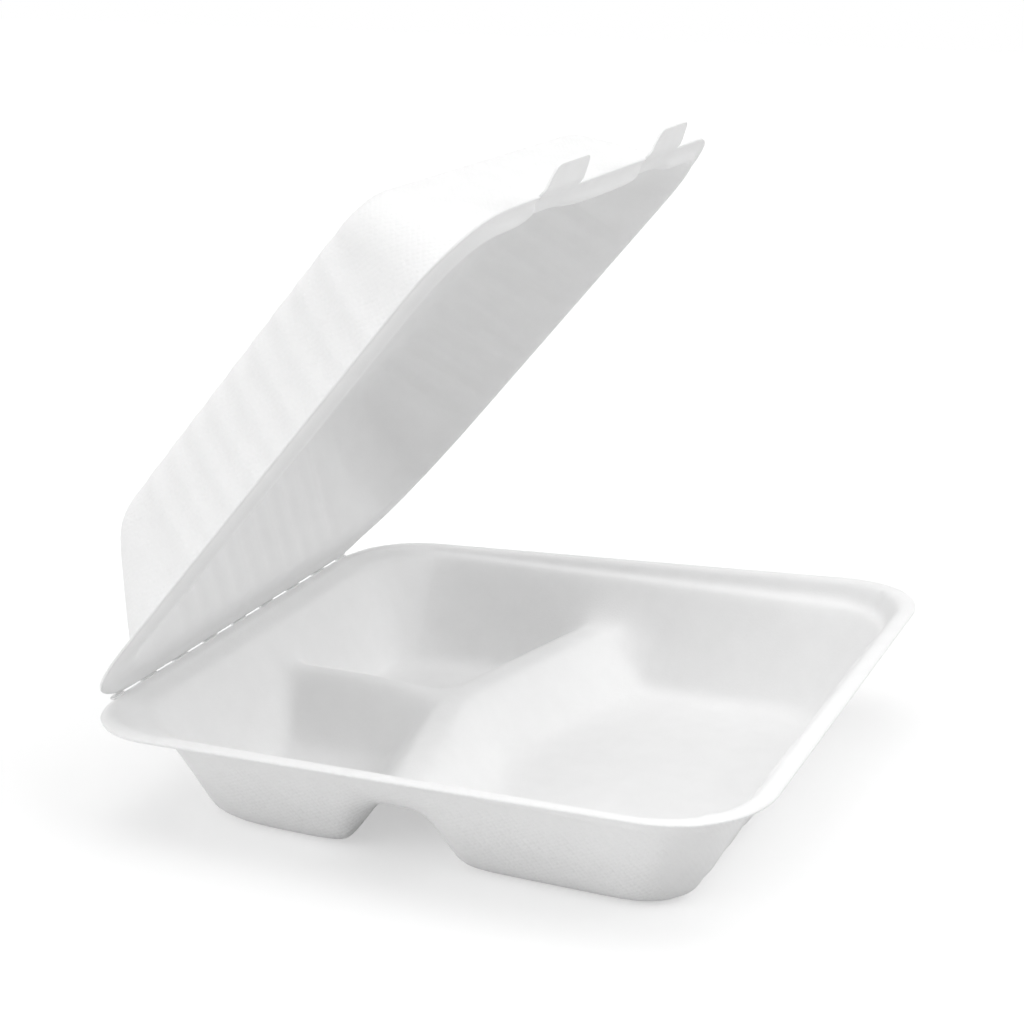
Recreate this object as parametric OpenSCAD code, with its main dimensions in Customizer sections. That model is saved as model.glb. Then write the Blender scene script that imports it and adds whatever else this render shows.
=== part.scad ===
// Three-compartment moulded pulp clamshell container, lid half open.
// X runs along the fold, the tray's front edge is toward -Y, Z is up.
// The origin is in the middle of the large well's floor, on the face that the tray stands on.
// Tray and lid are one moulded sheet; they are two nodes only because the lid swings at the fold.

/* [Sheet] */
// thickness of the moulded pulp sheet (mm)
sheet_t = 0.9; // [0.5:0.05:1.4]

/* [Tray rim] */
// half width of the tray at the fold (mm)
tray_half_back = 110.2; // [95:0.5:125]
// half width of the tray at the front edge (mm)
tray_half_front = 118.8; // [100:0.5:130]
// depth of the tray from the fold to the front edge (mm)
tray_depth = 229.7; // [190:0.5:260]
// height of the rim's top face beside the fold (mm)
rim_back_z = 38.9; // [30:0.1:45]
// rise of the rim from the fold to the front edge (mm)
rim_rise = 7.5; // [0:0.1:12]
// flat width of the rim at the sides and the fold (mm)
rim_side_w = 5.5; // [3:0.1:9]
// flat width of the rim at the front (mm)
rim_front_w = 7.2; // [4:0.1:10]
// plan radius of the rim's corners beside the fold (mm)
rim_back_r = 28; // [15:0.5:40]
// plan radius of the rim's corners at the front (mm)
rim_front_r = 33; // [15:0.5:45]
// plan width of the riser between rim and ledge (mm)
riser_w = 0.7; // [0.4:0.1:2]
// plan width that the riser gains for each mm of its height
riser_lean = 0.12; // [0.05:0.01:0.3]
// height of the ledge that runs inside the rim (mm)
ledge_z = 38; // [28:0.1:38.5]
// dip of the ledge toward the wells (mm)
ledge_dip = 0.3; // [0.1:0.1:0.8]

/* [Tray wells] */
// half width of the wells at the top of the walls (mm)
well_half_top = 101.5; // [85:0.5:108]
// half width of the wells at the foot of the walls (mm)
well_half_foot = 82.6; // [65:0.5:95]
// widening of the wells from the fold side to the front, each side (mm)
well_flare = 4.5; // [0:0.1:8]
// distance from the fold to the top of the fold-side wall (mm)
back_wall_top = 15.5; // [10:0.5:25]
// distance from the fold to the foot of the fold-side wall (mm)
back_wall_foot = 29; // [22:0.5:40]
// distance from the front edge to the top of the front wall (mm)
front_wall_top = 12.5; // [11:0.5:25]
// distance from the front edge to the foot of the front wall (mm)
front_wall_foot = 30.5; // [26:0.5:60]
// plan radius of the wells' corners at the top of the walls beside the fold (mm)
top_back_r = 30; // [15:0.5:34]
// plan radius of the wells' corners at the top of the walls at the front (mm)
top_front_r = 23; // [15:0.5:30]
// plan radius of the wells' corners at the floor beside the fold (mm)
floor_back_r = 21; // [10:0.5:26]
// plan radius of the large well's corners at the floor (mm)
floor_front_r = 17; // [10:0.5:26]
// depth of the shallow flutes on the front wall (mm)
front_flute_h = 0.9; // [0:0.1:2]

/* [Dividers] */
// height of the cross divider's crest (mm)
divider_h = 22; // [12:0.5:30]
// distance from the fold to the cross divider's middle at x = 0 (mm)
divider_y = 87.5; // [70:0.5:110]
// slope of the cross divider's two arms in plan
divider_slope = 0.25; // [0:0.01:0.35]
// half width of the cross divider's crest (mm)
divider_crest = 6; // [3:0.5:9]
// widening of the cross divider's crest where it meets the side walls (mm)
crest_spread = 6; // [0:0.5:10]
// drop of the cross divider's crest where it meets the side walls (mm)
crest_drop = 2.4; // [0:0.1:5]
// half width of the cross divider at the floor (mm)
divider_foot = 22; // [16:0.5:26]
// height of the small ridge between the two small wells (mm)
ridge_h = 24; // [12:0.5:30]
// half width of the small ridge's crest (mm)
ridge_crest = 3.5; // [2:0.5:6]
// half width of the small ridge at the floor (mm)
ridge_foot = 17; // [11:0.5:19]
// softness of the valleys where dividers and walls meet (mm)
fillet_r = 6; // [1:0.5:10]

/* [Fold] */
// height of the fold's axis (mm)
fold_z = 39.2; // [30:0.1:45]
// distance from the fold to the middle of the large well's floor (mm)
base_y = 150; // [125:0.5:170]
// gap on each side of the fold's axis (mm)
fold_gap = 0.15; // [0.05:0.05:0.3]
// number of slits along the fold
slit_count = 8; // [4:1:10]
// distance from one slit to the next (mm)
slit_pitch = 20.33; // [14:0.1:20.5]
// length of one slit (mm)
slit_len = 10.6; // [6:0.1:12]
// width of a slit on each side of the fold (mm)
slit_half_w = 0.8; // [0.4:0.1:1.2]

/* [Lid rim] */
// angle of the open lid above the horizontal (degrees)
lid_open = 49.8; // [20:0.1:90]
// half width of the lid's rim in the middle of its length (mm)
lid_half = 112.8; // [100:0.1:125]
// widening of the lid from its middle to the front, each side (mm)
lid_flare = 2.6; // [0:0.1:6]
// length of the lid from the fold to its front edge (mm)
lid_len = 224; // [190:0.5:250]
// height of the lid rim's underside over the fold's axis (mm)
lid_rim_n = 0.3; // [0.1:0.1:1.5]
// flat width of the lid's rim at the sides (mm)
lid_rim_w = 6.5; // [4:0.1:9]
// flat width of the lid's rim at the front (mm)
lid_rim_front_w = 5.5; // [4:0.1:8]
// drop of the bead inside the lid's rim at the front (mm)
bead_h = 2.3; // [0.6:0.1:3]
// plan width of the bead's slope (mm)
bead_run = 1.6; // [1:0.1:2]
// plan radius of the lid rim's corners beside the fold (mm)
lid_back_r = 37; // [15:0.5:42]
// plan radius of the lid rim's corners at the front (mm)
lid_front_r = 29; // [15:0.5:40]

/* [Lid panel] */
// height of the lid's top panel over the fold's axis (mm)
lid_depth = 37.2; // [25:0.1:37.4]
// half width of the lid's walls at the rim (mm)
lid_wall_half = 102; // [95:0.5:104]
// half width of the lid's top panel (mm)
panel_half = 79.5; // [65:0.5:90]
// distance from the fold to the lid's front wall at the rim (mm)
lid_wall_front = 213.5; // [205:0.5:214]
// plan radius of the lid walls' corners at the rim (mm)
lid_wall_r = 21.5; // [14:0.5:26]
// distance from the fold to the lid's wall at the rim (mm)
lid_wall_back = 19; // [14:0.5:24]
// distance from the fold to the top panel (mm)
panel_back = 51; // [45:0.5:58]
// distance from the fold to the top panel's front edge (mm)
panel_front = 192; // [182:0.5:198]
// plan radius of the top panel's corners (mm)
panel_r = 12; // [6:0.5:13]
// depth of the flutes on the lid's side walls and fold-side wall (mm)
flute_h = 1.1; // [0:0.1:2]
// distance from one flute to the next (mm)
flute_pitch = 12.35; // [10:0.05:12.4]

/* [Lid tabs] */
// distance from the middle of the lid to the middle of a tab (mm)
tab_x = 46; // [35:0.5:52]
// width of a tab at the rim (mm)
tab_w = 31; // [20:0.5:36]
// length of the raised flap of a tab (mm)
tab_flap = 7.5; // [4:0.5:12]
// slope of the raised flap over the rim's plane (degrees)
tab_angle = 24; // [15:1:70]
// reach of the tab's flat strip beyond the rim's edge (mm)
tab_strip = 2; // [1:0.1:4]
// radius of the tab's outer corners (mm)
tab_r = 4; // [1:0.5:4]

/* [Hidden] */
ring_n = 8;
rim_tilt = rim_rise / tray_depth;
pulp = [0.95, 0.94, 0.9];
// share of the ledge's width at which it dips
ledge_share = 0.62;
// height over the floor at which a valley reaches its full softness
valley_h = 9;
// how far a tab's root reaches into the rim, and how much thinner it is there
tab_root = 0.7;
tab_thin = 0.12;

// plain helpers
function mix(a, b, t) = a + (b - a) * t;
function clamp01(t) = max(0, min(1, t));
function ease(t) = let (u = clamp01(t)) u * u * (3 - 2 * u);
// the higher of two heights over the floor, with a soft valley that fades out toward the floor
function soft_max(a, b) = let (
    r = max(0.0001, fillet_r * clamp01(min(a, b) / valley_h)),
    h = clamp01(0.5 + 0.5 * (a - b) / r))
    mix(b, a, h) + r * h * (1 - h);
function unit(v) = v / max(1e-9, norm(v));
function rim_z(y) = rim_back_z - rim_tilt * y;
function riser(y) = riser_w + riser_lean * (rim_z(y) - ledge_z);

// tray: plan offsets of the rings, from the outer edge inward
wall_run = [0, 0, 0, 0, 0, 0.44, 0.86, 1, 1.19];
function side_in(k, y) = let (
    w = mix(tray_half_back, tray_half_front, -y / tray_depth),
    foot = w - rim_side_w - riser(y),
    flare = well_flare * (-y / tray_depth - 0.4))
    k == 0 ? w
    : k == 1 ? w - rim_side_w
    : k == 2 ? foot
    : k == 3 ? mix(foot, well_half_top, ledge_share)
    : mix(well_half_top + flare * 0.4, well_half_foot + flare, wall_run[k]);
function back_in(k) = k == 0 ? fold_gap
    : k == 1 ? rim_side_w
    : k == 2 ? rim_side_w + riser(0)
    : k == 3 ? mix(rim_side_w + riser(0), back_wall_top, ledge_share)
    : mix(back_wall_top, back_wall_foot, wall_run[k]);
function front_in(k) = k == 0 ? 0
    : k == 1 ? rim_front_w
    : k == 2 ? rim_front_w + riser(-tray_depth)
    : k == 3 ? mix(rim_front_w + riser(-tray_depth), front_wall_top, ledge_share)
    : mix(front_wall_top, front_wall_foot, wall_run[k]);
function corner_r(k, front) = let (
    r0 = front ? rim_front_r : rim_back_r,
    r1 = r0 - rim_side_w * 0.75,
    r2 = front ? top_front_r : top_back_r)
    k == 0 ? r0
    : k < 3 ? r1
    : k == 3 ? mix(r1, r2, ledge_share)
    : mix(r2, front ? floor_front_r : floor_back_r, wall_run[k]);
wall_h = [0, 0, 0, 0, 0.955, 0.55, 0.155, 0.045, 0];
function ring_z(k, y) = k < 2 ? rim_z(y)
    : k == 2 ? ledge_z
    : k == 3 ? ledge_z - ledge_dip
    : mix(sheet_t, ledge_z, wall_h[k]);

// tray: inner lines across and along
lines_back = [0, ridge_crest * 1.1, mix(ridge_crest, ridge_foot, 0.42), ridge_foot * 0.86, ridge_foot * 1.08,
    30, 42, 53, 62, 70];
lines_front = [0, 7, 14, 20, 30, 40, 50, 60, 68, 74];
half_n = len(lines_back) - 1;
nx = 2 * (half_n + 1 + ring_n);
chevron = [divider_foot * 1.04, divider_foot * 0.84, divider_crest * 1.35, divider_crest * 0.7, 0];
back_lines = [mix(back_in(ring_n), divider_y - divider_foot, 0.3), mix(back_in(ring_n), divider_y - divider_foot, 0.66)];
front_lines = [0.22, 0.45, 0.66, 0.82, 0.92];
chev_n = 2 * len(chevron) - 1;
ny = 2 * ring_n + 1 + len(back_lines) + chev_n + len(front_lines);
function line_x(i, y) = let (m = i - nx / 2, a = abs(m), s = sign(m), t = ease((-y - divider_y) / 70))
    a <= half_n ? s * mix(lines_back[a], lines_front[a], t) : s * side_in(nx / 2 - a, y);
function ring_i(i) = min(i, nx - i);
function ring_j(j) = min(j, ny - j);
function bend(x) = divider_slope * (sqrt(x * x + 30) - sqrt(30));
function chev_off(c) = c < len(chevron) ? chevron[c] : -chevron[chev_n - 1 - c];
floor_end = tray_depth - front_in(ring_n);
function line_y(j, x) = let (c = j - ring_n - 1 - len(back_lines), b = j - ring_n - 1, f = c - chev_n)
    j <= ring_n ? -back_in(j)
    : j >= ny - ring_n ? -(tray_depth - front_in(ny - j))
    : b < len(back_lines) ? -back_lines[b] - bend(x) * (b + 0.5) / len(back_lines) * 0.8
    : c < chev_n ? -(divider_y - chev_off(c)) - bend(x)
    : mix(-(divider_y + divider_foot) - bend(x), -floor_end, front_lines[f]);

// tray: a point of ring k moved onto its rounded corner
function on_ring(x, y, k) = let (
    back = -back_in(k),
    front = -(tray_depth - front_in(k)),
    near_back = y > -tray_depth / 2,
    r = corner_r(k, !near_back),
    yc = near_back ? back : front,
    w = side_in(k, y),
    dx = w - abs(x),
    dy = abs(y - yc),
    e = max(dx, dy),
    a = 45 * (1 - clamp01(e / r)),
    s = sign(x),
    up = near_back ? 1 : -1)
    e >= r ? [x, y]
    : dx > dy ? [s * (w - r + r * sin(a)), yc - up * (r - r * cos(a))]
    : [s * (w - r + r * cos(a)), yc - up * (r - r * sin(a))];

function flank(d, crest, foot, h) = h * (1 - ease((abs(d) - crest) / (foot - crest)) * 0.35
    - 0.65 * clamp01((abs(d) - crest) / (foot - crest)));
function divider_at(x, y) = let (
    end = ease((abs(x) - well_half_foot + 2) / 15),
    spread = crest_spread * end)
    flank(-y - divider_y - bend(x), divider_crest + spread, divider_foot + spread / 2, divider_h - crest_drop * end);
function ridge_at(x, y) = flank(x, ridge_crest, ridge_foot, ridge_h) * (1 - ease((-y - divider_y + 16) / 16));
function inner_h(x, y) = soft_max(divider_at(x, y), ridge_at(x, y));
function tray_point(i, j) = let (
    k = min(ring_i(i), ring_j(j), ring_n),
    y0 = line_y(j, 0),
    x0 = line_x(i, y0),
    y1 = line_y(j, x0),
    x1 = line_x(i, y1),
    p = k < ring_n || ring_i(i) == ring_n || ring_j(j) == ring_n ? on_ring(x1, y1, k) : [x1, y1],
    at_front = ring_j(j) == k && j > ny / 2 && k > 3 && k < 8 && abs(x1) < 76,
    m = abs(i - nx / 2),
    wave = at_front && m > 2 ? (m % 2 == 0 ? 1 : -1) * front_flute_h / 2 : 0,
    wall = ring_z(k, p[1]) - sheet_t)
    [p[0], p[1] + wave, k < 4 ? wall + sheet_t : min(ledge_z, sheet_t + soft_max(wall, inner_h(p[0], p[1])))];

// a sheet of thickness t under a grid of points: closed on its border
function grid_normal(g, i, j, ni, nj) = let (
    a = g[min(i + 1, ni)][j] - g[max(i - 1, 0)][j],
    b = g[i][min(j + 1, nj)] - g[i][max(j - 1, 0)],
    n = cross(a, b))
    unit(n[2] < 0 ? -n : n);

module tray_shell() {
    g = [for (i = [0:nx]) [for (j = [0:ny]) tray_point(i, j)]];
    low = [for (i = [0:nx]) [for (j = [0:ny])
        (ring_i(i) == 0 || ring_j(j) == 0) ? g[i][j] - [0, 0, sheet_t]
        : let (q = g[i][j] - sheet_t * grid_normal(g, i, j, nx, ny)) [q[0], q[1], max(0, q[2])]]];
    w = ny + 1;
    top_n = (nx + 1) * w;
    pts = concat([for (c = g) each c], [for (c = low) each c]);
    top = [for (i = [0:nx - 1], j = [0:ny - 1]) let (
        a = i * w + j,
        b = a + w,
        c = b + 1,
        d = a + 1,
        low_ac = pts[a][2] + pts[c][2] - pts[b][2] - pts[d][2],
        turn = abs(low_ac) > 0.3 ? low_ac < 0 : (i < nx / 2) == (j < ny / 2))
        each turn ? [[a, b, c], [a, c, d]] : [[a, b, d], [b, c, d]]];
    bottom = [for (f = top) [f[0] + top_n, f[2] + top_n, f[1] + top_n]];
    loop = concat([for (i = [0:nx - 1]) i * w], [for (j = [0:ny - 1]) nx * w + j],
        [for (i = [nx:-1:1]) i * w + ny], [for (j = [ny:-1:1]) j]);
    m = len(loop);
    edge = [for (q = [0:m - 1]) let (a = loop[q], b = loop[(q + 1) % m])
        each [[a, b + top_n, b], [a, a + top_n, b + top_n]]];
    polyhedron(pts, concat(top, bottom, edge));
}

module tray() {
    color(pulp)
    translate([0, base_y, 0])
    difference() {
        tray_shell();
        fold_slits(rim_back_z - sheet_t);
    }
}

// lid: rings from the rim's edge to the top panel
// each ring: half width, back, front, back radius, front radius, height
lid_top_n = lid_rim_n + sheet_t;
bead_n = lid_top_n - bead_h;
bead_half = lid_half - lid_rim_w - bead_run;
bead_front = lid_len - lid_rim_front_w - bead_run;
function wall_ring(q, up) = let (r = mix(lid_wall_r, panel_r, q)) [mix(lid_wall_half, panel_half, q),
    mix(lid_wall_back, panel_back, q), mix(lid_wall_front, panel_front, q), r, r, up * lid_depth];
lid_rings = [
    [lid_half, fold_gap, lid_len, lid_back_r, lid_front_r, lid_top_n],
    [lid_half - lid_rim_w, rim_side_w, lid_len - lid_rim_front_w, lid_back_r - 4, lid_front_r - 5, lid_top_n],
    [bead_half, rim_side_w + 1.2, bead_front, lid_back_r - 5, lid_front_r - 6, bead_n],
    [bead_half - bead_run, lid_wall_back - 4, bead_front - bead_run, lid_back_r - 6, lid_front_r - 7, bead_n],
    wall_ring(0.03, 0.06),
    wall_ring(0.16, 0.24),
    wall_ring(0.40, 0.525),
    wall_ring(0.61, 0.78),
    wall_ring(0.74, 0.91),
    wall_ring(0.87, 0.976),
    wall_ring(1, 1)
];
flute_fade = [0, 0, 0, 0, 0.5, 1, 1, 1, 0.8, 0.3, 0];
lid_n = len(lid_rings) - 1;
side_lines = 19;
side_first = panel_back + panel_r + 3.5;
side_s = [for (q = [0:side_lines - 1]) side_first + q * flute_pitch / 2];
back_lines_n = 21;
back_x = [for (q = [0:back_lines_n - 1]) (q - (back_lines_n - 1) / 2) * flute_pitch / 2];
tab_in = tab_x - tab_w / 2;
tab_out = tab_x + tab_w / 2;
front_half = [8, tab_in - 10, tab_in - 1.5, tab_x - 5, tab_x + 7, tab_out + 3.5];
front_x = concat([for (q = [5:-1:0]) -front_half[q]], front_half);
arc_steps = 6;

// points of one rounded corner of a ring, without the straight parts
function arc_pts(cx, cy, r, a0) = [for (q = [0:arc_steps]) let (a = a0 + 90 * q / arc_steps)
    [cx + r * cos(a), cy + r * sin(a)]];
// plan points of a lid ring, counter-clockwise in (x, s)
function lid_plan(g, fade) = let (w = g[0], b = g[1], f = g[2], rb = g[3], rf = g[4], d = flute_h / 2 * fade)
    concat(
        [for (q = [0:back_lines_n - 1]) [back_x[q], b + (q % 2 == 0 ? d : -d)]],
        arc_pts(w - rb, b + rb, rb, -90),
        [for (q = [0:side_lines - 1]) [w + (q % 2 == 0 ? -d : d), side_s[q]]],
        arc_pts(w - rf, f - rf, rf, 0),
        [for (q = [len(front_x) - 1:-1:0]) [front_x[q], f]],
        arc_pts(-w + rf, f - rf, rf, 90),
        [for (q = [side_lines - 1:-1:0]) [-w - (q % 2 == 0 ? -d : d), side_s[q]]],
        arc_pts(-w + rb, b + rb, rb, 180));
// the lid widens evenly toward its front
function widen(p) = [p[0] + sign(p[0]) * lid_flare * (2 * p[1] / lid_len - 1) * clamp01(abs(p[0]) / panel_half), p[1]];
// the bead fades out toward the fold and beside the tabs
function bead_keep(x, s) = let (
    beside = abs(abs(x) - tab_x) - tab_w / 2,
    front = s > lid_len - 20 ? clamp01(abs(beside) / 5) : 1)
    ease(s / 60) * front;
function lid_point(k, p) = let (n = lid_rings[k][5], keep = bead_keep(p[0], p[1]))
    [p[0], -p[1], k == 2 || k == 3 ? mix(lid_top_n, n, keep) : n];

module lid_shell() {
    g = [for (k = [0:lid_n]) let (plan = lid_plan(lid_rings[k], flute_fade[k]))
        [for (p = plan) lid_point(k, widen(p))]];
    m = len(g[0]);
    low = [for (k = [0:lid_n]) [for (q = [0:m - 1]) k == 0 ? g[k][q] - [0, 0, sheet_t]
        : k == lid_n ? g[k][q] - [0, 0, sheet_t]
        : let (n = cross(g[k][(q + 1) % m] - g[k][(q + m - 1) % m], g[k + 1][q] - g[k - 1][q]))
            g[k][q] - sheet_t * unit(n[2] < 0 ? -n : n)]];
    top_n = (lid_n + 1) * m;
    mid = [0, -(panel_back + panel_front) / 2, lid_depth];
    pts = concat([for (c = g) each c], [for (c = low) each c], [mid, mid - [0, 0, sheet_t]]);
    top = [for (k = [0:lid_n - 1], q = [0:m - 1]) let (
        a = k * m + q,
        b = k * m + (q + 1) % m,
        c = b + m,
        d = a + m)
        each [[a, b, c], [a, c, d]]];
    bottom = [for (f = top) [f[0] + top_n, f[2] + top_n, f[1] + top_n]];
    edge = [for (q = [0:m - 1]) let (a = q, b = (q + 1) % m) each [[a, b + top_n, b], [a, a + top_n, b + top_n]]];
    cap = [for (q = [0:m - 1]) [lid_n * m + q, lid_n * m + (q + 1) % m, 2 * top_n]];
    floor_cap = [for (f = cap) [f[0] + top_n, 2 * top_n + 1, f[1] + top_n]];
    polyhedron(pts, concat(top, bottom, edge, cap, floor_cap));
}

// one closing tab: a flat strip out of the rim, then a flap that is bent up
tab_rows = [[-tab_root, 0, tab_thin], [0.02, 0, 0], [tab_strip, 0, 0], [tab_strip, 0.4, 0],
    [tab_strip, 1 - tab_r / tab_flap, 0],
    [tab_strip, 1 - 0.38 * tab_r / tab_flap, 0], [tab_strip, 1 - 0.08 * tab_r / tab_flap, 0], [tab_strip, 1, 0]];
tab_cols = 8;
function tab_half(f) = let (u = max(0, f - 1 + tab_r / tab_flap) * tab_flap / tab_r)
    tab_w / 2 - 2 * f - tab_r * (1 - sqrt(max(0, 1 - u * u)));
module tab_sheet() {
    rows = len(tab_rows);
    pts = [for (side = [1, 0], r = tab_rows, c = [0:tab_cols]) let (
        f = r[1],
        out = r[0] + f * tab_flap * cos(tab_angle),
        up = f * tab_flap * sin(tab_angle),
        lean = f > 0 ? tab_angle : r[0] >= tab_strip ? tab_angle / 2 : 0,
        lift = side == 1 ? sheet_t - r[2] : r[2],
        half = tab_half(f) * (2 * c / tab_cols - 1))
        [half, -(lid_len + out - lift * sin(lean)), lid_rim_n + up + lift * cos(lean)]];
    w = tab_cols + 1;
    n = rows * w;
    top = [for (i = [0:rows - 2], j = [0:tab_cols - 1]) let (a = i * w + j, b = a + w)
        each [[a, b + 1, b], [a, a + 1, b + 1]]];
    bottom = [for (f = top) [f[0] + n, f[2] + n, f[1] + n]];
    loop = concat([for (i = [0:rows - 2]) i * w], [for (j = [0:tab_cols - 1]) (rows - 1) * w + j],
        [for (i = [rows - 1:-1:1]) i * w + tab_cols], [for (j = [tab_cols:-1:1]) j]);
    m = len(loop);
    edge = [for (q = [0:m - 1]) let (a = loop[q], b = loop[(q + 1) % m]) each [[a, b, b + n], [a, b + n, a + n]]];
    polyhedron(pts, concat(top, bottom, edge));
}

// the slits that perforate the fold, one half in each sheet
module fold_slits(z) {
    for (q = [0:slit_count - 1])
        translate([(q - (slit_count - 1) / 2) * slit_pitch - slit_len / 2, -slit_half_w, z - 1])
        cube([slit_len, 2 * slit_half_w, sheet_t + 2]);
}

// moves a shape from the lid's frame (x, -s, n) to its place at the fold
module at_fold() {
    translate([0, base_y, fold_z])
    rotate([-lid_open, 0, 0])
    children();
}

module lid() {
    color(pulp)
    at_fold()
    difference() {
        union() {
            lid_shell();
            for (side = [-1, 1])
                translate([side * tab_x, 0, 0])
                tab_sheet();
        }
        fold_slits(lid_rim_n);
    }
}

tray();
lid();
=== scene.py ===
# Clamshell food box of moulded bagasse pulp, lid half open
import bpy
import math
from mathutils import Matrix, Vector


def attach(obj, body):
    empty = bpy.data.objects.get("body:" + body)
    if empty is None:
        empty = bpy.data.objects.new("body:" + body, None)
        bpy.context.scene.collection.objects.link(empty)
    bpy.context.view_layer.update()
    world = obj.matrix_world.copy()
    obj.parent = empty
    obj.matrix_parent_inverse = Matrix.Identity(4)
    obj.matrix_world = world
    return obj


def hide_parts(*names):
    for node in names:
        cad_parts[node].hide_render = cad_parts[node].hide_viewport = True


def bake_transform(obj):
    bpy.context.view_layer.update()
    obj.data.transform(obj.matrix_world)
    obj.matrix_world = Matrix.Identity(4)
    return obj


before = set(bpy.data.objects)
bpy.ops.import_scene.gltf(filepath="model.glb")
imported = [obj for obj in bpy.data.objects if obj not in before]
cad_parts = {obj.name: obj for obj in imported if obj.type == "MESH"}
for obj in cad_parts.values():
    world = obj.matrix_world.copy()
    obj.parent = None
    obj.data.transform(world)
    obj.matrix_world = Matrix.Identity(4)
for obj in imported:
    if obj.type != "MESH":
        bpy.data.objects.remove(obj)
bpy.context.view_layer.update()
bpy.ops.object.select_all(action="DESELECT")
print("frame loaded")

mm = 0.001  # every size below is in millimetres
baseY = 150.0  # from the fold to the middle of the large well's floor, where the origin is


def mix(a, b, t):
    return a + (b - a) * t


def clamp01(t):
    return max(0.0, min(1.0, t))


def ease(t):
    u = clamp01(t)
    return u * u * (3 - 2 * u)


def softMax(a, b, r):
    # the higher of two heights, with a soft valley that fades out toward the floor
    r = max(0.0001, r * clamp01(min(a, b) / 9))
    h = clamp01(0.5 + 0.5 * (a - b) / r)
    return mix(b, a, h) + r * h * (1 - h)


def hexColour(code):
    # sRGB hex to linear
    out = []
    for i in (0, 2, 4):
        c = int(code[i:i + 2], 16) / 255
        out.append(c / 12.92 if c <= 0.04045 else ((c + 0.055) / 1.055) ** 2.4)
    return (*out, 1.0)


def addNode(tree, kind, settings=None, inputs=None, links=None):
    node = tree.nodes.new(kind)
    for key, value in (settings or {}).items():
        setattr(node, key, value)
    for key, value in (inputs or {}).items():
        node.inputs[key].default_value = value
    for key, source in (links or {}).items():
        tree.links.new(source, node.inputs[key])
    return node


# ---------- light, floor and camera ----------
studio = {
    "sky": 0.2,               # soft light from all round
    "floorSize": 6.0,         # metres
    "floorShown": "C4C4C4",   # with the glow it comes out white, and its shadow stays light
    "floorBounce": "E2E2E2",  # what the floor gives back to the container
    "floorGlow": 0.5,
    "lens": 75.45, "cameraPlace": (-0.642, -0.2327, 0.305), "cameraTilt": 73.1, "cameraTurn": -66.91,
    # softboxes: strength, spread in degrees, compass angle from +Y toward +X, height over the floor
    "lamps": {"overhead_softbox": (1.39, 55, 0, 88), "front_softbox": (1.40, 55, 166, 41),
              "rear_left_softbox": (1.32, 50, 308, 18)},
}


def seenDirectly(tree):
    # 1 for what the camera sees, also through a reflection or a clear piece
    path = addNode(tree, "ShaderNodeLightPath")
    seen = addNode(tree, "ShaderNodeMath", {"operation": "MAXIMUM"},
                   links={0: path.outputs["Is Camera Ray"], 1: path.outputs["Is Glossy Ray"]})
    seenToo = addNode(tree, "ShaderNodeMath", {"operation": "MAXIMUM"},
                      links={0: seen.outputs[0], 1: path.outputs["Is Transmission Ray"]})
    return seenToo.outputs[0]


def makeFloor():
    bpy.ops.mesh.primitive_plane_add(size=studio["floorSize"], location=(0, 0, 0))
    floor = bpy.context.object
    floor.name = "studio_floor"
    bpy.ops.object.transform_apply(location=True, rotation=True, scale=True)
    mat = bpy.data.materials.new("pale_paper_floor")
    mat.use_nodes = True
    tree = mat.node_tree
    shader = tree.nodes["Principled BSDF"]
    seen = seenDirectly(tree)
    colour = addNode(tree, "ShaderNodeMix", {"data_type": "RGBA"},
                     {6: hexColour(studio["floorBounce"]), 7: hexColour(studio["floorShown"])}, {0: seen})
    tree.links.new(colour.outputs[2], shader.inputs["Base Color"])
    glow = addNode(tree, "ShaderNodeMath", {"operation": "MULTIPLY"}, {1: studio["floorGlow"]}, {0: seen})
    shader.inputs["Emission Color"].default_value = (1, 1, 1, 1)
    tree.links.new(glow.outputs[0], shader.inputs["Emission Strength"])
    shader.inputs["Roughness"].default_value = 1.0
    shader.inputs["Specular IOR Level"].default_value = 0.0
    floor.data.materials.append(mat)


def makeWorld():
    world = bpy.data.worlds.new("white_studio")
    bpy.context.scene.world = world
    world.use_nodes = True
    tree = world.node_tree
    background = tree.nodes["Background"]
    strength = addNode(tree, "ShaderNodeMix", {"data_type": "FLOAT"}, {2: studio["sky"], 3: 1.0},
                       {0: seenDirectly(tree)})
    background.inputs["Color"].default_value = (1, 1, 1, 1)
    tree.links.new(strength.outputs[0], background.inputs["Strength"])


def makeLamps():
    for name, (strength, spread, compass, height) in studio["lamps"].items():
        data = bpy.data.lights.new(name, "SUN")
        data.energy = strength
        data.angle = math.radians(spread)
        lamp = bpy.data.objects.new(name, data)
        bpy.context.collection.objects.link(lamp)
        flat = math.cos(math.radians(height))
        lamp.location = (math.sin(math.radians(compass)) * flat, math.cos(math.radians(compass)) * flat,
                         math.sin(math.radians(height)))
        lamp.rotation_euler = (-lamp.location).to_track_quat("-Z", "Y").to_euler()


def makeCamera():
    data = bpy.data.cameras.new("photo_camera")
    data.sensor_width = 36.0
    data.lens = studio["lens"]
    data.clip_end = 20.0
    camera = bpy.data.objects.new("photo_camera", data)
    bpy.context.collection.objects.link(camera)
    camera.location = studio["cameraPlace"]
    camera.rotation_euler = (math.radians(studio["cameraTilt"]), 0.0, math.radians(studio["cameraTurn"]))
    bpy.context.scene.camera = camera


makeFloor()
makeWorld()
makeLamps()
makeCamera()
bpy.context.scene.view_settings.view_transform = "Standard"
print("studio ready")

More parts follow.
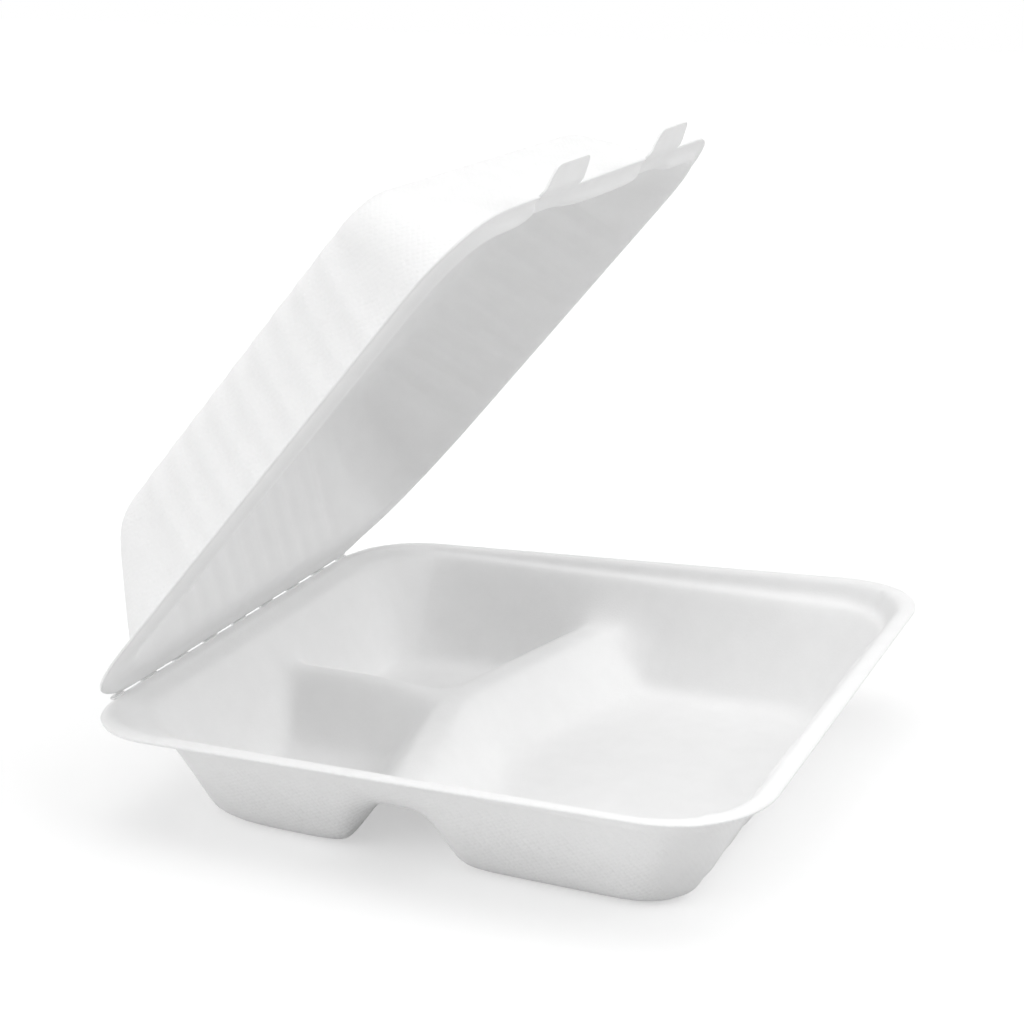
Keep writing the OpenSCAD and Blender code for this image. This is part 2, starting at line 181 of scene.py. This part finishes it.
# ---------- moulded bagasse pulp ----------
pulpLook = {
    "pale": "F7F7F7",         # bleached cane fibre
    "deep": "F4F4F4",         # where the fibres lie thinner
    "mottleSize": 9.0,        # mm, clouds of thicker and thinner fibre
    "fibreSize": 0.7,         # mm, single fibre ends
    "fibreRelief": 0.08,      # mm
    "screenPitch": 1.5,       # mm, knots that the forming screen leaves
    "screenRelief": 0.2,      # mm
    "roughness": 0.82,
}


def makePulp(name, screen, turn):
    # bagasse pulp pressed on a wire screen: matt, faintly cloudy, the mould side woven, the other side smooth
    mat = bpy.data.materials.new(name)
    mat.use_nodes = True
    tree = mat.node_tree
    shader = tree.nodes["Principled BSDF"]
    coord = addNode(tree, "ShaderNodeTexCoord")
    # turned off the axes, so that no wall lies along the pattern
    turned = addNode(tree, "ShaderNodeMapping", inputs={"Rotation": (turn + 0.6, 0.5, 0.78)},
                     links={0: coord.outputs["Object"]})
    clouds = addNode(tree, "ShaderNodeTexNoise", inputs={"Scale": 1 / (pulpLook["mottleSize"] * mm), "Detail": 3.0},
                     links={"Vector": turned.outputs[0]})
    fibres = addNode(tree, "ShaderNodeTexNoise",
                     inputs={"Scale": 1 / (pulpLook["fibreSize"] * mm), "Detail": 4.0, "Roughness": 0.6},
                     links={"Vector": turned.outputs[0]})
    blend = addNode(tree, "ShaderNodeMath", {"operation": "MULTIPLY_ADD"}, {1: 0.45},
                    {0: fibres.outputs[0], 2: clouds.outputs[0]})
    ramp = addNode(tree, "ShaderNodeMapRange", inputs={1: 0.45, 2: 1.0}, links={0: blend.outputs[0]})
    colour = addNode(tree, "ShaderNodeMix", {"data_type": "RGBA"},
                     {6: hexColour(pulpLook["deep"]), 7: hexColour(pulpLook["pale"])}, {0: ramp.outputs[0]})
    tree.links.new(colour.outputs[2], shader.inputs["Base Color"])
    grain = addNode(tree, "ShaderNodeBump", inputs={"Strength": 1.0, "Distance": pulpLook["fibreRelief"] * mm},
                    links={"Height": fibres.outputs[0]})
    last = grain
    if screen:
        knots = addNode(tree, "ShaderNodeTexVoronoi", {"feature": "F1"},
                        {"Scale": 1 / (pulpLook["screenPitch"] * mm), "Randomness": 0.35}, {"Vector": turned.outputs[0]})
        last = addNode(tree, "ShaderNodeBump", {"invert": True},
                       {"Strength": 1.0, "Distance": pulpLook["screenRelief"] * mm},
                       {"Height": knots.outputs["Distance"], "Normal": grain.outputs[0]})
    tree.links.new(last.outputs[0], shader.inputs["Normal"])
    shader.inputs["Roughness"].default_value = pulpLook["roughness"]
    shader.inputs["IOR"].default_value = 1.5
    shader.inputs["Specular IOR Level"].default_value = 0.3
    return mat


lidAngle = math.radians(49.8)
pulpInside = makePulp("moulded_bagasse_smooth_side", False, 0.0)
pulpOutside = makePulp("moulded_bagasse_screen_side", True, 0.0)
pulpLidOutside = makePulp("moulded_bagasse_screen_side_lid", True, lidAngle)
pulpLidInside = makePulp("moulded_bagasse_smooth_side_lid", False, lidAngle)

sheet = {
    "thick": 0.9, "foldZ": 39.2,
    "foldEdge": 0.3,                # from the fold's axis to the cut edges
    "foldDip": 0.5, "lidDip": 0.9,  # how far the cut edges of tray and lid turn in toward the axis
    "rimDroop": 0.9,                # how far the rim's free edge hangs
}


def finishSheet(obj, levels, thick=sheet["thick"], even=True):
    # gives the skin its thickness and rounds it
    bpy.context.view_layer.objects.active = obj
    wall = obj.modifiers.new("wall", "SOLIDIFY")
    wall.thickness = thick * mm
    wall.offset = -1.0
    wall.use_even_offset = even
    wall.material_offset = 1
    wall.material_offset_rim = 1
    wall.edge_crease_inner = 0.55
    wall.edge_crease_outer = 0.55
    wall.edge_crease_rim = 0.0
    bpy.ops.object.modifier_apply(modifier="wall")
    soft = obj.modifiers.new("soft", "SUBSURF")
    soft.levels = levels
    soft.render_levels = levels
    bpy.ops.object.modifier_apply(modifier="soft")
    bpy.ops.object.mode_set(mode="OBJECT")
    bpy.ops.object.shade_smooth()


# ---------- tray ----------
tray = {
    "halfBack": 110.2, "halfFront": 118.8, "depth": 229.7,
    "rimBackZ": 38.9, "rimRise": 7.5, "rimSide": 5.5, "rimFront": 7.2,
    "rimBackR": 28.0, "rimFrontR": 33.0, "riser": 0.7, "riserLean": 0.12,
    "ledgeZ": 38.0, "ledgeDip": 0.3, "ledgeShare": 0.62, "topBackR": 30.0, "topFrontR": 23.0,
    "wellTop": 101.5, "wellFoot": 82.6, "wellFlare": 4.5,
    "backTop": 15.5, "backFoot": 29.0, "frontTop": 12.5, "frontFoot": 30.5,
    "floorBackR": 21.0, "floorFrontR": 17.0, "flute": 3.4, "fluteEnd": 76.0,
}
divider = {
    "height": 22.0, "y": 87.5, "slope": 0.25, "crest": 6.0, "spread": 6.0, "drop": 2.4, "foot": 22.0,
    "ridgeHeight": 24.0, "ridgeCrest": 3.5, "ridgeFoot": 17.0, "fillet": 8.0, "bendRound": 30.0,
}
# rings of edges round the tray: 0 rim edge, 1 rim, 2 riser, 3 ledge, 4 top of the wall, 8 floor
ringCount = 8
ledgeRing = 3
# how far in and how high each ring lies between the wall's top and its foot
wallRun = [0, 0, 0, 0, 0, 0.44, 0.86, 1.0, 1.19]
wallHeight = [0, 0, 0, 0, 0.955, 0.55, 0.155, 0.045, 0]


def rimZ(y):
    return tray["rimBackZ"] - tray["rimRise"] / tray["depth"] * y


def riserRun(y):
    return tray["riser"] + tray["riserLean"] * (rimZ(y) - tray["ledgeZ"])


def sideIn(k, y):
    t = tray
    w = mix(t["halfBack"], t["halfFront"], -y / t["depth"])
    flare = t["wellFlare"] * (-y / t["depth"] - 0.4)
    foot = w - t["rimSide"] - riserRun(y)
    near = [w, w - t["rimSide"], foot, mix(foot, t["wellTop"], t["ledgeShare"])]
    return near[k] if k <= ledgeRing else mix(t["wellTop"] + flare * 0.4, t["wellFoot"] + flare, wallRun[k])


def endIn(k, edge, rim, foot, top, bottom):
    near = [edge, rim, foot, mix(foot, top, tray["ledgeShare"])]
    return near[k] if k <= ledgeRing else mix(top, bottom, wallRun[k])


def backIn(k):
    t = tray
    return endIn(k, sheet["foldEdge"], t["rimSide"], t["rimSide"] + riserRun(0), t["backTop"], t["backFoot"])


def frontIn(k):
    t = tray
    return endIn(k, 0, t["rimFront"], t["rimFront"] + riserRun(-t["depth"]), t["frontTop"], t["frontFoot"])


def cornerR(k, front):
    r0 = tray["rimFrontR"] if front else tray["rimBackR"]
    r1 = r0 - tray["rimSide"] * 0.75
    r2 = tray["topFrontR"] if front else tray["topBackR"]
    near = [r0, r1, r1, mix(r1, r2, tray["ledgeShare"])]
    return near[k] if k <= ledgeRing else mix(r2, tray["floorFrontR"] if front else tray["floorBackR"], wallRun[k])


def ringZ(k, y):
    atFoldEdge = y > -sheet["foldEdge"] - 0.01
    if k == 0:
        return rimZ(y) - (sheet["foldDip"] if atFoldEdge else sheet["rimDroop"])
    if k == 1:
        return rimZ(y)
    if k <= ledgeRing:
        return tray["ledgeZ"] - (tray["ledgeDip"] if k == ledgeRing else 0)
    return mix(sheet["thick"], tray["ledgeZ"], wallHeight[k])


# lines of edges: from the middle out at the small wells and at the large one, then from the fold to the front
d = divider
linesBack = [0, d["ridgeCrest"] * 1.1, mix(d["ridgeCrest"], d["ridgeFoot"], 0.42), d["ridgeFoot"] * 0.86,
             d["ridgeFoot"] * 1.08, 30, 42, 53, 62, 70]
linesFront = [0, 7, 14, 20, 30, 40, 50, 60, 68, 74]
halfLines = len(linesBack) - 1
across = 2 * (halfLines + 1 + ringCount)
chevron = [d["foot"] * 1.04, d["foot"] * 0.84, d["crest"] * 1.35, d["crest"] * 0.7, 0]
chevronOffsets = chevron + [-c for c in chevron[-2::-1]]
wellLines = [mix(backIn(ringCount), d["y"] - d["foot"], 0.3), mix(backIn(ringCount), d["y"] - d["foot"], 0.66)]
floorLines = [0.22, 0.45, 0.66, 0.82, 0.92]
along = 2 * ringCount + 1 + len(wellLines) + len(chevronOffsets) + len(floorLines)


def bend(x):
    soft = divider["bendRound"]
    return divider["slope"] * (math.sqrt(x * x + soft) - math.sqrt(soft))


def lineX(i, y):
    # the lines pass from their places at the small wells to those at the large one
    m = i - across // 2
    t = ease((-y - divider["y"]) / 70)
    side = -1 if m < 0 else 1
    if abs(m) <= halfLines:
        return side * mix(linesBack[abs(m)], linesFront[abs(m)], t)
    return side * sideIn(across // 2 - abs(m), y)


def lineY(j, x):
    if j <= ringCount:
        return -backIn(j)
    if j >= along - ringCount:
        return -(tray["depth"] - frontIn(along - j))
    b = j - ringCount - 1
    c = b - len(wellLines)
    f = c - len(chevronOffsets)
    if b < len(wellLines):
        return -wellLines[b] - bend(x) * (b + 0.5) / len(wellLines) * 0.8
    if f < 0:
        return -(divider["y"] - chevronOffsets[c]) - bend(x)
    return mix(-(divider["y"] + divider["foot"]) - bend(x), -(tray["depth"] - frontIn(ringCount)), floorLines[f])


def onRing(x, y, k):
    # a place in a corner is pulled to the ring's round
    nearBack = y > -tray["depth"] / 2
    edge = -backIn(k) if nearBack else -(tray["depth"] - frontIn(k))
    r = cornerR(k, not nearBack)
    w = sideIn(k, y)
    dx = w - abs(x)
    dy = abs(y - edge)
    e = max(dx, dy)
    if e >= r:
        return x, y
    a = math.radians(45 * (1 - clamp01(e / r)))
    side = -1 if x < 0 else 1
    up = 1 if nearBack else -1
    if dx > dy:
        return side * (w - r + r * math.sin(a)), edge - up * (r - r * math.cos(a))
    return side * (w - r + r * math.cos(a)), edge - up * (r - r * math.sin(a))


def flank(dist, crest, foot, height):
    # a ridge's height, from its crest to its foot
    u = (abs(dist) - crest) / (foot - crest)
    return height * (1 - ease(u) * 0.35 - 0.65 * clamp01(u))


def innerHeight(x, y):
    g = divider
    end = ease((abs(x) - tray["wellFoot"] + 2) / 15)
    spread = g["spread"] * end
    cross = flank(-y - g["y"] - bend(x), g["crest"] + spread, g["foot"] + spread / 2, g["height"] - g["drop"] * end)
    level = mix(g["ridgeHeight"], g["height"], ease((-y - g["y"] + 30) / 22))
    ridge = flank(x, g["ridgeCrest"], g["ridgeFoot"], level) * (1 - ease((-y - g["y"] + 2) / 10))
    shallow = clamp01((g["height"] - min(cross, ridge)) / 5)  # no swelling where two crests meet
    return softMax(cross, ridge, g["fillet"] * shallow)


def trayPoint(i, j):
    ri, rj = min(i, across - i), min(j, along - j)
    k = min(ri, rj, ringCount)
    y0 = lineY(j, 0)
    x0 = lineX(i, y0)
    y = lineY(j, x0)
    x = lineX(i, y)
    if k < ringCount or ri == ringCount or rj == ringCount:
        x, y = onRing(x, y, k)
    wave = 0
    m = abs(i - across // 2)
    onFrontWall = rj == k and j > along / 2 and ledgeRing < k < ringCount
    if onFrontWall and abs(x) < tray["fluteEnd"] and m > 2:
        wave = (1 if m % 2 == 0 else -1) * tray["flute"] / 2
    z = ringZ(k, y)
    if k > ledgeRing:
        wall = z - sheet["thick"]
        z = min(tray["ledgeZ"], sheet["thick"] + softMax(wall, innerHeight(x, y), divider["fillet"]))
    return Vector((x, y + wave + baseY, z)) * mm


def makeTray():
    bpy.ops.mesh.primitive_grid_add(x_subdivisions=across, y_subdivisions=along, size=1.0, location=(0, 0, 0))
    obj = bpy.context.object
    obj.name = "tray_sheet"
    for v in obj.data.vertices:
        v.co = trayPoint(round((v.co.x + 0.5) * across), round((0.5 - v.co.y) * along))
    for mat in (pulpInside, pulpOutside):
        obj.data.materials.append(mat)
    finishSheet(obj, 2)
    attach(obj, "tray")
    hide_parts("tray")
    print("tray made:", len(obj.data.polygons), "faces")


makeTray()

# ---------- lid ----------
lid = {
    "half": 112.8, "flare": 2.6, "length": 224.0, "rimN": 0.3, "rim": 6.5, "rimFront": 5.5, "bead": 2.3, "beadRun": 1.6,
    "backR": 37.0, "frontR": 29.0, "depth": 37.2, "wallHalf": 102.0, "panelHalf": 79.5, "wallBack": 19.0,
    "wallFront": 213.5, "wallR": 21.5, "panelBack": 51.0, "panelFront": 192.0, "panelR": 12.0,
    "flute": 5.0, "pitch": 12.35,
}
tab = {
    "x": 46.0, "width": 31.0, "flap": 7.5, "angle": 24.0, "strip": 2.0,
    "round": 4.0, "lean": 4.5, "farRound": 1.6, "farLean": -1.0,
    "neck": 5.0, "neckStep": 1.2,
    "lift": (0, 0.9, 1.2, 1.0),  # how far each ring of the rim is pressed up behind a tab
    "lines": (-23, -18.5, -15.5, -12, -5, 4, 11, 15.5, 20),
}
rimTop = lid["rimN"] + sheet["thick"]


def wallRing(q, up):
    # q is the share of the way in to the panel's edge, up the share of the lid's depth
    g = lid
    r = mix(g["wallR"], g["panelR"], q)
    return [mix(g["wallHalf"], g["panelHalf"], q), mix(g["wallBack"], g["panelBack"], q),
            mix(g["wallFront"], g["panelFront"], q), r, r, up * g["depth"]]


beadHalf = lid["half"] - lid["rim"] - lid["beadRun"]
beadFront = lid["length"] - lid["rimFront"] - lid["beadRun"]
beadN = rimTop - lid["bead"]
# half width, back, front, radius at the back, radius at the front, height over the fold's plane
lidRings = [
    [lid["half"], sheet["foldEdge"], lid["length"], lid["backR"], lid["frontR"], rimTop],
    [lid["half"] - lid["rim"], 5.5, lid["length"] - lid["rimFront"], lid["backR"] - 4, lid["frontR"] - 5, rimTop],
    [beadHalf, 6.7, beadFront, lid["backR"] - 5, lid["frontR"] - 6, beadN],
    [beadHalf - lid["beadRun"], lid["wallBack"] - 4, beadFront - lid["beadRun"], lid["backR"] - 6,
     lid["frontR"] - 7, beadN],
    wallRing(0.03, 0.06), wallRing(0.16, 0.24), wallRing(0.40, 0.525), wallRing(0.61, 0.78),
    wallRing(0.74, 0.91), wallRing(0.87, 0.976), wallRing(1, 1),
]
fluteFade = [0, 0, 0, 0, 0.5, 1, 1, 1, 0.9, 0.6, 0.2]
sideS = [lid["panelBack"] + lid["panelR"] + 3.5 + q * lid["pitch"] / 2 for q in range(19)]
backX = [(q - 10) * lid["pitch"] / 2 for q in range(21)]
frontX = [side * tab["x"] + out for side in (-1, 1) for out in tab["lines"]]
necks = [side * tab["x"] - tab["width"] / 2 for side in (-1, 1)]


def arc(cx, cy, r, start):
    return [(cx + r * math.cos(math.radians(start + 15 * q)), cy + r * math.sin(math.radians(start + 15 * q)))
            for q in range(7)]


def widen(x, s):
    # the lid widens evenly toward its front
    side = -1 if x < 0 else 1
    return x + side * lid["flare"] * (2 * s / lid["length"] - 1) * clamp01(abs(x) / lid["panelHalf"]), s


def neckAt(x):
    # the rim pinches to a neck on the near side of each tab
    return max(1 - ease(abs(x - neck) / tab["neck"]) for neck in necks)


def lidPlan(k):
    # one ring of the lid, seen from over its panel
    w, b, f, rb, rf, _ = lidRings[k]
    dip = lid["flute"] / 2 * fluteFade[k]
    pinch = lid["length"] - tab["neckStep"] * k - f if k < len(tab["lift"]) else 0
    pts = [(x, b + (dip if q % 2 == 0 else -dip)) for q, x in enumerate(backX)]
    pts += arc(w - rb, b + rb, rb, -90)
    pts += [(w + (-dip if q % 2 == 0 else dip), s) for q, s in enumerate(sideS)]
    pts += arc(w - rf, f - rf, rf, 0)
    pts += [(x, f + pinch * neckAt(x)) for x in reversed(frontX)]
    pts += arc(-w + rf, f - rf, rf, 90)
    pts += [(-w - (-dip if q % 2 == 0 else dip), sideS[q]) for q in range(len(sideS) - 1, -1, -1)]
    pts += arc(-w + rb, b + rb, rb, 180)
    return [widen(x, s) for x, s in pts]


def inTab(x, s):
    # 1 where a tab is pressed up out of the rim
    beside = tab["width"] / 2 - abs(abs(x) - tab["x"])
    return clamp01(beside / 3 + 0.5) if s > lid["length"] - 20 else 0.0


def atFold(x, s, n):
    # from the lid's own frame to its place at the fold
    c, sn = math.cos(lidAngle), math.sin(lidAngle)
    return Vector((x, baseY - s * c + n * sn, sheet["foldZ"] + s * sn + n * c)) * mm


def makeLid():
    plans = [lidPlan(k) for k in range(len(lidRings))]
    heights = [ring[5] for ring in lidRings]
    centre = (lid["panelBack"] + lid["panelFront"]) / 2
    for part in (0.93, 0.78, 0.4, 0.0):  # the flat panel closes toward its middle
        plans.append([(x * part, mix(centre, s, part)) for x, s in plans[len(lidRings) - 1]])
        heights.append(lid["depth"])
    count = len(plans[0])
    rings = len(plans) - 1
    bpy.ops.mesh.primitive_grid_add(x_subdivisions=count, y_subdivisions=rings, size=1.0, location=(0, 0, 0))
    obj = bpy.context.object
    obj.name = "lid_sheet"
    for v in obj.data.vertices:
        q = (count - round((v.co.x + 0.5) * count)) % count
        k = round((v.co.y + 0.5) * rings)
        x, s = plans[k][q]
        n = heights[k]
        if k in (2, 3):  # the bead runs out toward the fold
            n = mix(rimTop, n, ease(s / 60))
        if k < len(tab["lift"]):
            n = mix(n, rimTop + tab["lift"][k], inTab(x, s))
        if k == 0 and s < 2:  # the edge at the fold
            n -= sheet["lidDip"]
        v.co = atFold(x, s, n)
    bpy.ops.object.mode_set(mode="EDIT")
    bpy.ops.mesh.select_all(action="SELECT")
    bpy.ops.mesh.remove_doubles(threshold=0.000001)
    bpy.ops.object.mode_set(mode="OBJECT")
    for mat in (pulpLidOutside, pulpLidInside):
        obj.data.materials.append(mat)
    finishSheet(obj, 2, even=False)
    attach(obj, "lid")
    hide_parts("lid")
    print("lid made:", len(obj.data.polygons), "faces")


makeLid()


def tabEnds(f):
    # the near end sweeps in from the neck to a round corner, the far end stays straight to a tighter one
    ends = []
    for corner, lean in ((tab["round"], tab["lean"]), (tab["farRound"], tab["farLean"])):
        u = max(0, f - 1 + corner / tab["flap"]) * tab["flap"] / corner
        ends.append(tab["width"] / 2 - lean * math.sqrt(f) - corner * (1 - math.sqrt(max(0, 1 - u * u))))
    return -ends[0], ends[1]


def makeTab(side, name):
    # a strip level with the rim, and the flap that stands up from it: (mm past the rim, share of the flap)
    strip = tab["strip"]
    rows = [(-1.2, 0), (0.0, 0), (strip * 0.7, 0)]
    rows += [(strip, f) for f in (0.04, 0.2, 1 - tab["round"] / tab["flap"], 0.8, 0.93, 1.0)]
    columns = 8
    bpy.ops.mesh.primitive_grid_add(x_subdivisions=columns, y_subdivisions=len(rows) - 1, size=1.0,
                                    location=(0, 0, 0))
    obj = bpy.context.object
    obj.name = name
    slope = math.radians(tab["angle"])
    for v in obj.data.vertices:
        c = round((v.co.x + 0.5) * columns)
        out, f = rows[round((0.5 - v.co.y) * (len(rows) - 1))]
        x = side * tab["x"] + mix(*tabEnds(f), c / columns)
        v.co = atFold(x, lid["length"] + out + f * tab["flap"] * math.cos(slope),
                      rimTop - 0.02 + f * tab["flap"] * math.sin(slope))
    for mat in (pulpLidOutside, pulpLidInside):
        obj.data.materials.append(mat)
    finishSheet(obj, 2)
    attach(obj, "lid")


makeTab(-1, "lid_tab_near")
makeTab(1, "lid_tab_far")
print("tabs made")

# ---------- perforated fold ----------
fold = {
    "slits": 8, "pitch": 20.33, "slit": 10.6, "half": 83.8, "thick": 0.5,
    "lidEnd": (0.5, 1.4), "lidHeight": 0.12,  # where the bridges lie on the lid
}


def makeFold():
    # bridges of pulp between the slits, bent round the back of the fold
    profile = [(-1.4, -0.85), (-0.7, -0.95), (-0.1, -1.0), (0.3, -0.85), (0.45, -0.45), (0.42, 0.0)]
    profile = [(baseY + y, sheet["foldZ"] + z) for y, z in profile]
    up = [atFold(0, s, fold["lidHeight"]) / mm for s in fold["lidEnd"]]
    profile += [(p.y, p.z) for p in up]
    edges = [-fold["half"]]
    for q in range(fold["slits"]):
        middle = (q - (fold["slits"] - 1) / 2) * fold["pitch"]
        edges += [middle - fold["slit"] / 2, middle + fold["slit"] / 2]
    edges.append(fold["half"])
    parts = []
    for q in range(0, len(edges), 2):
        bpy.ops.mesh.primitive_grid_add(x_subdivisions=2, y_subdivisions=len(profile) - 1, size=1.0,
                                        location=(0, 0, 0))
        part = bpy.context.object
        for v in part.data.vertices:
            y, z = profile[round((0.5 - v.co.y) * (len(profile) - 1))]
            v.co = Vector((mix(edges[q], edges[q + 1], v.co.x + 0.5), y, z)) * mm
        parts.append(part)
    bpy.ops.object.select_all(action="DESELECT")
    for part in parts:
        part.select_set(True)
    bpy.context.view_layer.objects.active = parts[0]
    bpy.ops.object.join()
    obj = bpy.context.object
    obj.name = "fold_bridges"
    for mat in (pulpInside, pulpInside):
        obj.data.materials.append(mat)
    finishSheet(obj, 1, thick=fold["thick"])
    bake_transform(obj)


makeFold()
print("fold made")

bpy.ops.object.select_all(action="DESELECT")
